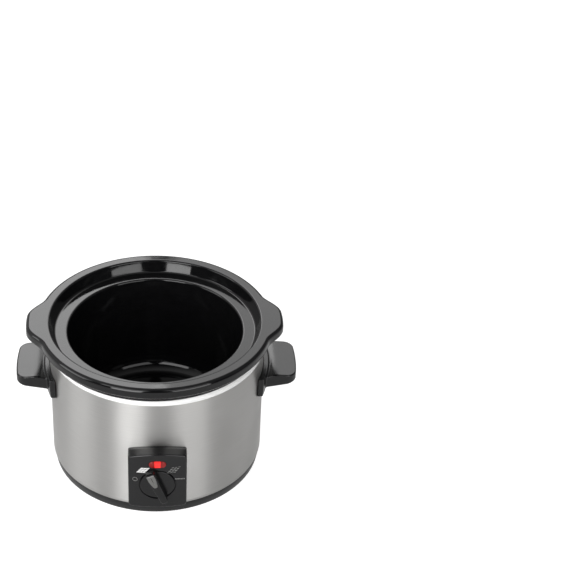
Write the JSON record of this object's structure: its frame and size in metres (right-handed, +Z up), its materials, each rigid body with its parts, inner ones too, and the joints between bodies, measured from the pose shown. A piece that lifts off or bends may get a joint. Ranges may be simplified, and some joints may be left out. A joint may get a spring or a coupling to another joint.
{
  "type": "chocolate melting pot",
  "caption": "Round electric chocolate melting pot: a black glazed crock with a stepped rim lifts out of a steel housing with side handles and a rotary control.",
  "frame": {"origin": "middle of the circle the pot stands on, on the plane of its feet", "axes": "+X to the right handle, -Y to the control panel, +Y to the cord gland at the rear, +Z up"},
  "size_m": [0.2492, 0.2278, 0.144],
  "materials": {
    "brushed_steel": "brushed round the body",
    "bright_liner": "bright spun",
    "black_plastic": "fine moulded grain",
    "black_knob": "satin",
    "pale_plastic": "satin",
    "black_glaze": "gloss glaze on stoneware",
    "red_lens": "clear red moulding",
    "lamp_glass": "clear",
    "foot_rubber": "matt",
    "zinc_steel": "zinc plated",
    "cream_plastic": "heat-proof moulding",
    "mica": "pressed mica sheet",
    "glass_wool": "felted glass wool",
    "white_ceramic": "unglazed",
    "brass": "bare",
    "brown_lead": "insulated wire",
    "blue_lead": "insulated wire",
    "white_lead": "glass-sleeved wire",
    "earth_lead": "insulated wire"
  },
  "bodies": {
    "housing": {"outer_shell": "brushed_steel", "heating_liner": "bright_liner", "base_tray": "black_plastic", "rubber_feet": "foot_rubber", "control_panel": "black_plastic", "panel_screws": "zinc_steel", "indicator_lens": "red_lens", "indicator_lamp": "lamp_glass", "lamp_holder": "cream_plastic", "rotary_switch": "cream_plastic", "switch_screws": "zinc_steel", "handle_left": "black_plastic", "handle_right": "black_plastic", "handle_screws": "zinc_steel", "handle_washers": "zinc_steel", "heater_band": "mica", "band_clamp": "zinc_steel", "clamp_screw": "zinc_steel", "clamp_nut": "zinc_steel", "insulation_wrap": "glass_wool", "thermal_fuse": "white_ceramic", "fuse_clip": "zinc_steel", "heat_shield": "bright_liner", "tie_stud": "zinc_steel", "stud_spacers": "zinc_steel", "earth_tag": "brass", "tie_washer": "zinc_steel", "tie_nut": "zinc_steel", "terminal_block": "white_ceramic", "terminal_screws": "brass", "cord_gland": "black_plastic", "gland_nut": "black_plastic", "live_lead": "brown_lead", "neutral_lead": "blue_lead", "heater_lead": "white_lead", "return_lead": "white_lead", "earth_lead": "earth_lead", "lamp_leads": "white_lead"},
    "crock": {"crock": "black_glaze"},
    "knob": {"selector_knob": "black_knob", "knob_pointer": "pale_plastic", "switch_spindle": "zinc_steel"}
  },
  "joints": [
    {"name": "crock_lift", "type": "slide", "parent": "housing", "child": "crock", "axis": [0, 0, 1], "range_m": [0, 0.14]},
    {"name": "knob_turn", "type": "hinge", "parent": "housing", "child": "knob", "pos_m": [0, -0.1065, 0.0441], "axis": [0, -1, 0], "range_deg": [-90, 45]}
  ]
}
